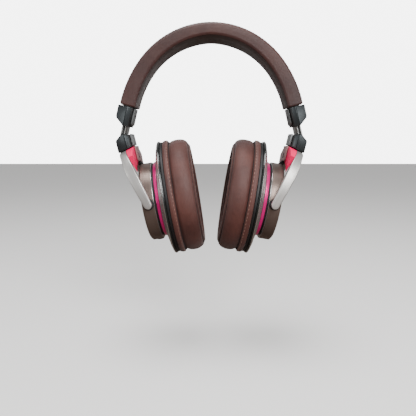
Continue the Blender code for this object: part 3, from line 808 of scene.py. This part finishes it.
def arch_point(turn, half, rise, fullness):
    """y and z of a point of the arch's outline, turn degrees from the crossbar's middle."""
    angle = math.radians(turn)
    y = math.copysign(abs(math.sin(angle)) ** fullness, turn) * half
    return y, max(0.0, math.cos(angle)) ** fullness * rise - YOKE_DROP


def yoke_section(turn):
    crown = crown_share(turn)
    inner = arch_point(turn, ARM_INNER, ARCH_INNER, INNER_FULLNESS)
    outer = arch_point(turn, ARM_OUTER, ARCH_OUTER, OUTER_FULLNESS)
    share = max(0.0, abs(turn) - BOW_START) / (90.0 - BOW_START)
    bow = 4 * share * (1 - share)
    return rounded_box(-(ARM_HALF + SHOULDER_OUT * crown + bow), ARM_HALF - SHOULDER_IN * crown, inner, outer)


def rounded_box(left, right, inner, outer, radius=0.9):
    """A rounded section between two (y, z) points, left to right along X."""
    inner, outer = Vector(inner), Vector(outer)
    tall = (outer - inner).length
    corners = [(left, 0, radius), (left, tall, radius), (right, tall, radius), (right, 0, radius)]
    step = (outer - inner) / tall
    return [(x, *(inner + step * t)) for x, t in fillet(corners, 4)]


def round_end(side):
    sections = []
    for turn in (86, 72, 58, 44, 30, 15):
        half = ARM_HALF * math.cos(math.radians(turn))
        z = -YOKE_DROP - ARM_HALF * math.sin(math.radians(turn))
        radius = min(0.9, half * 0.9)
        sections.append(rounded_box(-half, half, (side * ARM_INNER, z), (side * ARM_OUTER, z), radius))
    return sections


def yoke():
    steps = 72
    arch = [yoke_section(180 * i / steps - 90) for i in range(steps + 1)]
    return loft("yoke", round_end(-1) + arch + list(reversed(round_end(1))))


def rib_face(z):
    """x of the rib's inner face at a height: it slants towards the yoke on its way down."""
    return 7.4 + 0.25 * z


def rib():
    """The crimson rib on the arch's inner side, tapering to both ends, with a dark red painted as shade on
    its underside and the rose painted as shade and reflected red on its far inner faces.
    """
    sections = []
    for i in range(33):
        turn = RIB_SPAN * (i / 16 - 1)
        angle = math.radians(turn)
        near = ARM_HALF - SHOULDER_IN * crown_share(turn) + 0.2
        low = Vector((RIB_INNER * math.sin(angle), RIB_INNER * math.cos(angle) - YOKE_DROP))
        top = Vector(arch_point(turn, ARM_OUTER, ARCH_OUTER, OUTER_FULLNESS))
        tall = (top - low).length
        faces = [max(near + 0.5, rib_face(z)) for z in (low.y, top.y)]
        corners = [(near, 0, 0.2), (near, tall, 0.2), (faces[1], tall, 0.5), (faces[0], 0, 0.5)]
        step = (top - low) / tall
        sections.append([(x, *(low + step * t)) for x, t in fillet(corners, 4)])
    made = loft("rib", sections)
    for face in made.polygons:
        outward = Vector((0, face.center.y, face.center.z + YOKE_DROP)).normalized()
        # Faces turned towards the arch's middle get the dark red: painted shade under the rib.
        if face.normal.dot(outward) < -0.4:
            face.material_index = RIB_PAINTED_SHADE_UNDERSIDE
        # Far faces that look towards the cup get the rose colour: painted shade and reflected red.
        elif face.normal.x > 0.6 and face.center.y > 0:
            face.material_index = RIB_FAR_SHADE_AND_REFLECTION
    return made


def rib_plate():
    """The plate on the rib's inner side, with a round hole in it."""
    outline = fillet([(9.0, -0.6, 0.6), (9.0, -13.0, 2.6), (-9.0, -13.0, 2.6), (-9.0, -0.6, 0.6)], 6)
    rings = [[(rib_face(z) + 0.2 + thick, y, z) for y, z in outline] for thick in (0, 1.3)]
    plate = bevelled(loft("plate", rings), 0.3, angle=50)
    return carved(plate, well(rib_face(HOLE_LEVEL) + 1.5, HOLE_LEVEL, 2.3, 3.0))


def jumper():
    """The short black wire from below the rib's plate into the housing's top, in the swivel frame."""
    way = [Vector(p) for p in ((3.6, -9.0), (4.3, -12.4), (5.0, -14.4), (5.8, -16.4), (6.6, -19.0))]
    path = []
    for a, b in zip(way, way[1:]):
        path += [a.lerp(b, k / 6) for k in range(6)]
    rings = []
    for k, spot in enumerate(path):
        ahead = (path[min(k + 1, len(path) - 1)] - path[max(k - 1, 0)]).normalized()
        turns = [2 * math.pi * i / 20 for i in range(20)]
        radius = 1.2 + 0.08 * math.cos(k * math.pi)
        across = Vector((-ahead.y, ahead.x))
        ring = []
        for t in turns:
            out = radius * math.cos(t)
            ring.append((spot.x + across.x * out, radius * math.sin(t), spot.y + across.y * out))
        rings.append(ring)
    return loft("jumper", rings)


def yokes():
    arch, accent, plate, wire = yoke(), rib(), rib_plate(), jumper()
    face = rib_face(HOLE_LEVEL)
    back, front = face - 0.6, face + 1.3
    outline = [(back, 2.25, 0.2), (front, 2.25, 0.3), (front, 1.5, 0.3), (back, 1.5, 0.2)]
    grommet = turned("grommet", outline, segments=40)
    profile = [(face - 0.5, 0.01), (face - 0.5, 1.55), (face + 0.4, 1.55), (face + 0.4, 0.01)]
    plug = disc("plug", profile, segments=40)
    for made in (grommet, plug):
        made.transform(Matrix.Translation((0, 0, HOLE_LEVEL)))
    for side, mirror in SIDES:
        body = f"{side}_yoke"
        sided(side, "yoke_arch", arch, SWIVEL, body, SILVER, "yoke", sharp=50)
        # The rose and the dark red on the rib are painted shade and reflected red.
        looks = [RED, ROSE, RED_PAINTED_SHADE]
        sided(side, "yoke_rib", accent, SWIVEL, body, looks, "yoke_accent", sharp=50)
        sided(side, "rib_plate", plate, SWIVEL, body, ROSE, "yoke_plate")
        sided(side, "plate_grommet", grommet, SWIVEL, body, RUBBER)
        sided(side, "plate_plug", plug, SWIVEL, body, BLACK)
        link = sided(side, "jumper_wire", wire, SWIVEL, None, RUBBER)
        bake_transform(link)


# ---------------------------------------------------------------- cup


def frame_width(height):
    """Half width of the flared frame, which is round where it meets the housing and oval at its rim."""
    return height - OVAL_RATIO * smooth((height - 32.2) / 14.0)


def oval_width(height):
    return height - OVAL_RATIO


def pad_width(height):
    """Half width of the pad, whose hole is a little slimmer than its outside."""
    return height - 8.8 + 1.6 * (height - 31.0) / 18.2


def drum_share(radius):
    return min(1.0, max(0.0, (radius - DRUM_BORE) / (DRUM_HEIGHT - DRUM_BORE)))


def drum_width(radius):
    return radius - (DRUM_HEIGHT - DRUM_RADIUS) * drum_share(radius)


def drum_drop(radius):
    return DRUM_DROP * drum_share(radius)


def housing():
    """The housing, a little taller than wide, with a turned groove by its inner edge."""
    bore, top = DRUM_BORE, DRUM_HEIGHT
    outline = [(4.1, top - 0.1, 0.2), (-4.2, top, 0.5), (-5.5, top - 1.3, 0.5), (-5.5, 27.6, 0.3)]
    outline += [(-3.7, 27.6, 0.2), (-3.7, bore, 0.2), (4.1, bore, 0.2)]
    return turned("housing", outline, drum_width, drop=drum_drop)


def housing_edge():
    top = DRUM_HEIGHT
    outline = [(4.8, top - 0.7, 0.2), (4.15, top - 0.15, 0.25), (4.15, DRUM_BORE, 0.2), (4.8, DRUM_BORE, 0.2)]
    return turned("housing_edge", outline, drum_width, drop=drum_drop)


def outer_plate():
    """The spun outer plate: a flat middle, a stepped ring round it and a polished edge."""
    profile = [(-6.0, 0.02), (-6.0, 17.6), (-5.75, 18.0), (-5.75, 18.6), (-6.05, 19.0), (-6.0, 25.4)]
    profile += [(-5.75, 26.2), (-5.2, 27.1), (-3.5, 27.2), (-3.4, 29.2), (-2.7, 29.2), (-2.7, 0.02)]
    return disc("outer_plate", profile)


FRAME_BANDS_AND_HIGHLIGHTS = (10.0, 10.7, 11.4, 13.05)  # stations where the frame's finish changes, by turned lines; the bright bands are polished rings, painted lighter as highlight lines


def flared_frame():
    """The flared frame, turned with fine steps that catch the light and a bright bevel round its rim. Its
    bright bands are polished metal, painted lighter as highlight lines.
    """
    outline = [(9.2, 32.5, 0.3), (9.5, 35.8, 2.0), (9.75, 37.6, 0.1), (10.1, 38.2, 0.1)]
    outline += [(10.5, 41.2, 2.0), (10.9, 43.8, 0.1), (11.2, 44.0, 0.1), (11.75, 46.6, 0.1)]
    outline += [(12.2, 47.6, 0.1), (13.0, 48.4, 0.1), (13.1, 48.1, 0.1), (14.3, 47.9, 0.25)]
    outline += [(14.3, 45.4, 0.2), (12.4, 44.0, 0.5), (11.2, 31.0, 0.5), (9.2, 29.4, 0.2)]
    made = turned("flared_frame", outline, frame_width, segments=160, steps=3)
    for face in made.polygons:
        face.material_index = sum(face.center.x > station for station in FRAME_BANDS_AND_HIGHLIGHTS)
    return made


def magenta_ring():
    return turned("magenta_ring", [(6.4, 31.6, 0.25), (8.9, 32.2, 0.35), (8.9, 28.0, 0.2), (6.4, 28.0, 0.2)])


def black_rim():
    hole = 22.9
    outline = [(14.6, 47.2, 0.3), (16.6, 47.2, 0.3), (16.6, 31.5, 0.2), (14.6, 31.5, 0.2)]
    rim = turned("black_rim", outline, oval_width)
    web = [(14.6, 30.9, 0), (16.6, 30.9, 0), (16.6, hole, 0.2), (14.6, hole, 0.2)]
    return joined("black_rim", rim, turned("web", web, lambda r: hole + (23.5 - hole) * (r - hole) / 8.0))


def pad_flange():
    """The leather skirt that holds the pad on the cup, drawn in to a sewn seam."""
    outline = [(16.9, 47.6, 0.9), (18.8, 48.3, 1.6), (20.9, 47.9, 1.0)]
    outline += [(SEAM_STATION - 0.1, SEAM_HEIGHT, 0.3), (21.4, 44.0, 0.5), (16.9, 44.0, 0.3)]
    return turned("pad_flange", outline, pad_width)


def seam_cord():
    """The sewn line between the skirt and the cushion: a dark cord, painted shadow in the seam's groove."""
    height = SEAM_HEIGHT - 0.3
    outline = [
        (SEAM_STATION + 0.55, height, 0.4),
        (SEAM_STATION, height + 0.55, 0.4),
        (SEAM_STATION - 0.55, height, 0.4),
        (SEAM_STATION, height - 0.55, 0.4),
    ]
    return turned("pad_seam", outline, pad_width)


def cushion_blank():
    """The cushion before it is filled, a little slimmer than it ends up."""
    outline = [(SEAM_STATION + 0.4, SEAM_HEIGHT - 0.2, 0.8), (24.6, 47.6, 3.0), (31.0, 47.9, 4.0)]
    outline += [(37.2, 46.0, 6.0), (39.4, 41.0, 6.0), (38.8, 34.4, 4.0), (33.0, 32.2, 4.0)]
    outline += [(17.6, 31.4, 0.8), (17.6, 42.5, 0.8), (SEAM_STATION + 0.4, 43.0, 0.5)]
    return turned("cushion_blank", outline, pad_width, 120, 4)


def filled(data, pinned, cap, voxel, pressure):
    """Leather pulled over foam: the blank is remeshed and swollen as cloth, with its movement capped."""
    body = linked("filling", data)
    remesh = body.modifiers.new("remesh", "REMESH")
    remesh.mode = "VOXEL"
    remesh.voxel_size = voxel
    data = applied(body)
    before = [v.co.copy() for v in data.vertices]
    body = linked("filling", data)
    group = body.vertex_groups.new(name="pin")
    group.add([v.index for v in data.vertices if pinned(v.co / MM)], 1.0, "REPLACE")
    cloth = body.modifiers.new("cloth", "CLOTH")
    cloth.settings.vertex_group_mass = "pin"
    cloth.settings.use_pressure = True
    cloth.settings.uniform_pressure_force = pressure
    cloth.settings.effector_weights.gravity = 0.0
    cloth.settings.quality = 6
    cloth.settings.mass = 0.2
    cloth.settings.tension_stiffness = 12.0
    cloth.settings.compression_stiffness = 12.0
    cloth.settings.bending_stiffness = 0.4
    cloth.point_cache.frame_start = 1
    cloth.point_cache.frame_end = CLOTH_FRAMES
    for step in range(1, CLOTH_FRAMES + 1):
        bpy.context.scene.frame_set(step)
    data = applied(body)
    bpy.context.scene.frame_set(1)
    for vertex, start in zip(data.vertices, before):
        move = vertex.co - start
        if move.length > cap:
            vertex.co = start + move.normalized() * cap
    return data


def softened(data, times, strength=0.5):
    """Evens out a mesh's surface without moving its outline much."""
    bm = bmesh.new()
    bm.from_mesh(data)
    axes = {f"use_axis_{axis}": True for axis in "xyz"}
    for _ in range(times):
        bmesh.ops.smooth_vert(bm, verts=bm.verts, factor=strength, **axes)
    return written(bm, data)


def subdivided(data):
    body = linked("subdividing", data)
    modifier = body.modifiers.new("subdivision", "SUBSURF")
    modifier.levels = 1
    modifier.render_levels = 1
    return applied(body)


def pulled_in(data, rows, width, depth):
    """Presses a sewn channel into a soft mesh along rows of points."""
    points = [p for row in rows for p in row]
    tree = KDTree(len(points))
    for i, point in enumerate(points):
        tree.insert(point, i)
    tree.balance()
    normals = [v.normal.copy() for v in data.vertices]
    for vertex, normal in zip(data.vertices, normals):
        distance = tree.find(vertex.co)[2]
        if distance < width:
            vertex.co -= normal * depth * (1 - (distance / width) ** 2) ** 2
    return data


def oval_row(station, height, count=360):
    """Points round an oval line on the pad."""
    turns = [2 * math.pi * i / count for i in range(count + 1)]
    return [Vector((station, pad_width(height) * math.sin(t), height * math.cos(t))) for t in turns]


def onto(data, row, lift):
    """A row of points dropped onto a mesh, and lifted off it a little."""
    tree = BVHTree.FromPolygons([v.co for v in data.vertices], [p.vertices for p in data.polygons])
    made = []
    for point in row:
        spot, normal, _, _ = tree.find_nearest(point)
        made.append(spot + normal * lift)
    return made


def cushion():
    """The filled cushion, its sewn line round the ear hole, and the stitches of both its seams."""
    blank_mesh = cushion_blank()
    blank_mesh.transform(Matrix.Scale(MM, 4))
    data = filled(blank_mesh, lambda p: p.x < SEAM_STATION + 1.2, 1.6 * MM, 2.6 * MM, 6.0)
    data.transform(Matrix.Scale(1 / MM, 4))
    data = softened(subdivided(softened(data, 3)), 1)
    inner_row = onto(data, oval_row(39.6, 35.4), 0.0)
    corner_row = onto(data, oval_row(39.2, 43.6), 0.0)
    data = pulled_in(data, [inner_row, corner_row], 1.6, 0.75)
    return data, onto(data, oval_row(39.6, 36.9), 0.08), onto(data, corner_row, 0.0)


def piping(row, radius=0.32):
    """A thin closed cord along a row of points."""
    rings = []
    for k in range(len(row) - 1):
        along = (row[k + 1] - row[k - 1 if k else -2]).normalized()
        across = along.cross(Vector((1, 0, 0))).normalized()
        other = along.cross(across)
        turns = [math.pi * i / 4 for i in range(8)]
        rings.append([row[k] + (across * math.cos(t) + other * math.sin(t)) * radius for t in turns])
    return loft("piping", rings, closed=True)


def speaker_cloth():
    """The cloth over the driver, slightly domed by the foam behind it."""
    steps = 12
    profile = [(18.1, 0.02)] + [(18.1, 30.4 * k / steps) for k in range(1, steps + 1)]
    profile += [(18.3 + 1.1 * (1 - (k / steps) ** 2), 30.4 * k / steps) for k in range(steps, 0, -1)]
    profile += [(19.4, 0.02)]
    return disc("speaker_cloth", profile, lambda r: r * 21.6 / 30.4)


def pivot_bush():
    outline = [(32.2, 4.5, 0.25), (33.6, 4.5, 0.4), (33.6, 2.2, 0.2), (32.2, 2.2, 0.2)]
    return turned("bush", outline, segments=48)


def upright(data):
    """Stands a piece drawn round the X axis on end, where the cable's socket is."""
    data.transform(Matrix.Translation((0.9, 0, 0)) @ Matrix.Rotation(math.radians(-90), 4, "Y"))
    return data


def socket():
    outline = [(-34.4, 3.0, 0.35), (-20.6, 3.0, 0.2), (-20.6, 1.8, 0.1), (-34.4, 1.8, 0.3)]
    return upright(turned("socket", outline, segments=48))


def cups():
    shell = housing()
    bore = disc("bore", [(-38.0, 0.01), (-38.0, 3.2), (-20.0, 3.2), (-20.0, 0.01)], segments=48)
    bored = carved(shell.copy(), upright(bore))
    edge, plate, flare, ring = housing_edge(), outer_plate(), flared_frame(), magenta_ring()
    rim, flange, cord, cloth, bush = black_rim(), pad_flange(), seam_cord(), speaker_cloth(), pivot_bush()
    pad, inner_row, corner_row = cushion()
    # A dark cord in the pressed channel round the pad's corner: painted shadow.
    corner = piping(corner_row)
    outer_row = oval_row(SEAM_STATION - 1.25, SEAM_HEIGHT + 1.35)
    thread = stitches([onto(flange, outer_row, 0.05), inner_row], 3.2, 1.3, 0.2)
    # Bright bands on the frame: polished rings, painted lighter as highlight lines.
    finishes = [FROST, BRIGHT, FROST, BRIGHT, GLOSS]
    for side, _ in SIDES:
        body = f"{side}_cup"
        body_shell = bored if side == "left" else shell
        sided(side, "housing", body_shell, CUP, body, TAUPE, "drum")
        sided(side, "housing_edge", edge, CUP, body, BRIGHT)
        sided(side, "outer_plate", plate, CUP, body, TAUPE, "back_plate")
        sided(side, "magenta_ring", ring, CUP, body, MAGENTA, "accent_ring")
        sided(side, "flared_frame", flare, CUP, body, finishes, "cup_frame")
        sided(side, "black_rim", rim, CUP, body, BLACK, "baffle")
        sided(side, "pad_skirt", flange, CUP, body, PAD_LEATHER)
        # The seam's cord and the piping are dark cords: painted shadow in the pad's grooves.
        sided(side, "pad_seam", cord, CUP, body, SEAM)
        sided(side, "pad_piping", corner, CUP, body, SEAM)
        sided(side, "pad_stitches", thread, CUP, body, THREAD)
        soft = sided(side, "pad_cushion", pad, CUP, body, PAD_LEATHER, "ear_pad", sharp=0)
        sided(side, "speaker_cloth", cloth, CUP, body, CLOTH, "dust_cloth")
        for place, turn in (("front", -90), ("back", 90)):
            spot = CUP @ Matrix.Rotation(math.radians(turn), 4, "Z")
            replaced = f"pivot_bush_{place}"
            sided(side, f"bush_ring_{place}", bush, spot, body, RUBBER, replaced)
    put("cable_socket", socket(), CUP, "left_cup", BLACK, 1, ["jack_socket"])


def inner_parts():
    """The pieces inside keep the frame's own solids, with better materials."""
    looks = {
        "headband_core": STEEL,
        "swivel_pin": STEEL,
        "pivot_pin_front": STEEL,
        "pivot_pin_back": STEEL,
        "gasket": RUBBER,
        "driver_frame": BLACK,
        "driver_magnet": STEEL,
        "diaphragm": FILM,
        "driver_grille": BLACK,
        "damping_felt": CLOTH,
        "terminal_board": BOARD,
    }
    for name, solid in frame["nodes"].items():
        look = looks.get(name.removesuffix("_left").removesuffix("_right"))
        if look:
            solid.data.materials.clear()
            solid.data.materials.append(look)


# ---------------------------------------------------------------- stage, light and camera


def stage():
    """A floor below the hanging headphones: pale to the camera, dark to the light that bounces off it."""
    half, level = 4.0, -0.262
    pale_colour, bounce_colour = (0.85, 0.84, 0.83, 1), (0.1, 0.07, 0.055, 1)
    bm = bmesh.new()
    corners = [bm.verts.new((x * half, y * half, level)) for x, y in ((-1, -1), (1, -1), (1, 1), (-1, 1))]
    bm.faces.new(corners)
    data = written(bm, "floor")
    pale, tree, shader = blank("pale_floor", pale_colour, 0.7)
    seen = node(tree, "ShaderNodeLightPath").outputs["Is Camera Ray"]
    tree.links.new(mixed(tree, seen, bounce_colour, pale_colour), shader.inputs["Base Color"])
    data.materials.append(pale)
    linked("floor", data)


def lamp(name, place, aim, size, power):
    data = bpy.data.lights.new(name, "AREA")
    data.shape = "DISK"
    data.size = size
    data.energy = power
    made = linked(name, data)
    made.location = place
    made.rotation_euler = (Vector(aim) - Vector(place)).to_track_quat("-Z", "Y").to_euler()


def light():
    """Four soft lamps under an even white sky, which the camera sees brighter than the object does."""
    world = bpy.data.worlds.new("world")
    bpy.context.scene.world = world
    world.use_nodes = True
    tree = world.node_tree
    backdrop = tree.nodes["Background"]
    backdrop.inputs["Color"].default_value = (1, 1, 1, 1)
    seen = node(tree, "ShaderNodeLightPath").outputs["Is Camera Ray"]
    tree.links.new(ranged(tree, seen, 0.62, 6.0), backdrop.inputs["Strength"])
    middle = (0, 0, -0.09)
    lamp("key", (0.3, -0.85, 0.35), middle, 0.6, 12.0)
    lamp("top", (-0.1, -0.1, 0.85), middle, 0.6, 9.0)
    lamp("side", (1.0, -0.35, 0.1), middle, 0.5, 4.0)
    lamp("fill", (-0.85, -0.5, 0.05), middle, 0.5, 3.0)


def camera():
    data = bpy.data.cameras.new("camera")
    data.sensor_width = 36.0
    data.lens = 40.5
    data.clip_start = 0.01
    made = linked("camera", data)
    made.location = (-0.0028, -0.400, -0.0856)
    made.rotation_euler = (math.radians(90 - 7.7), 0, 0)
    bpy.context.scene.camera = made


camera()
light()
stage()
headband()
sliders()
yokes()
cups()
inner_parts()
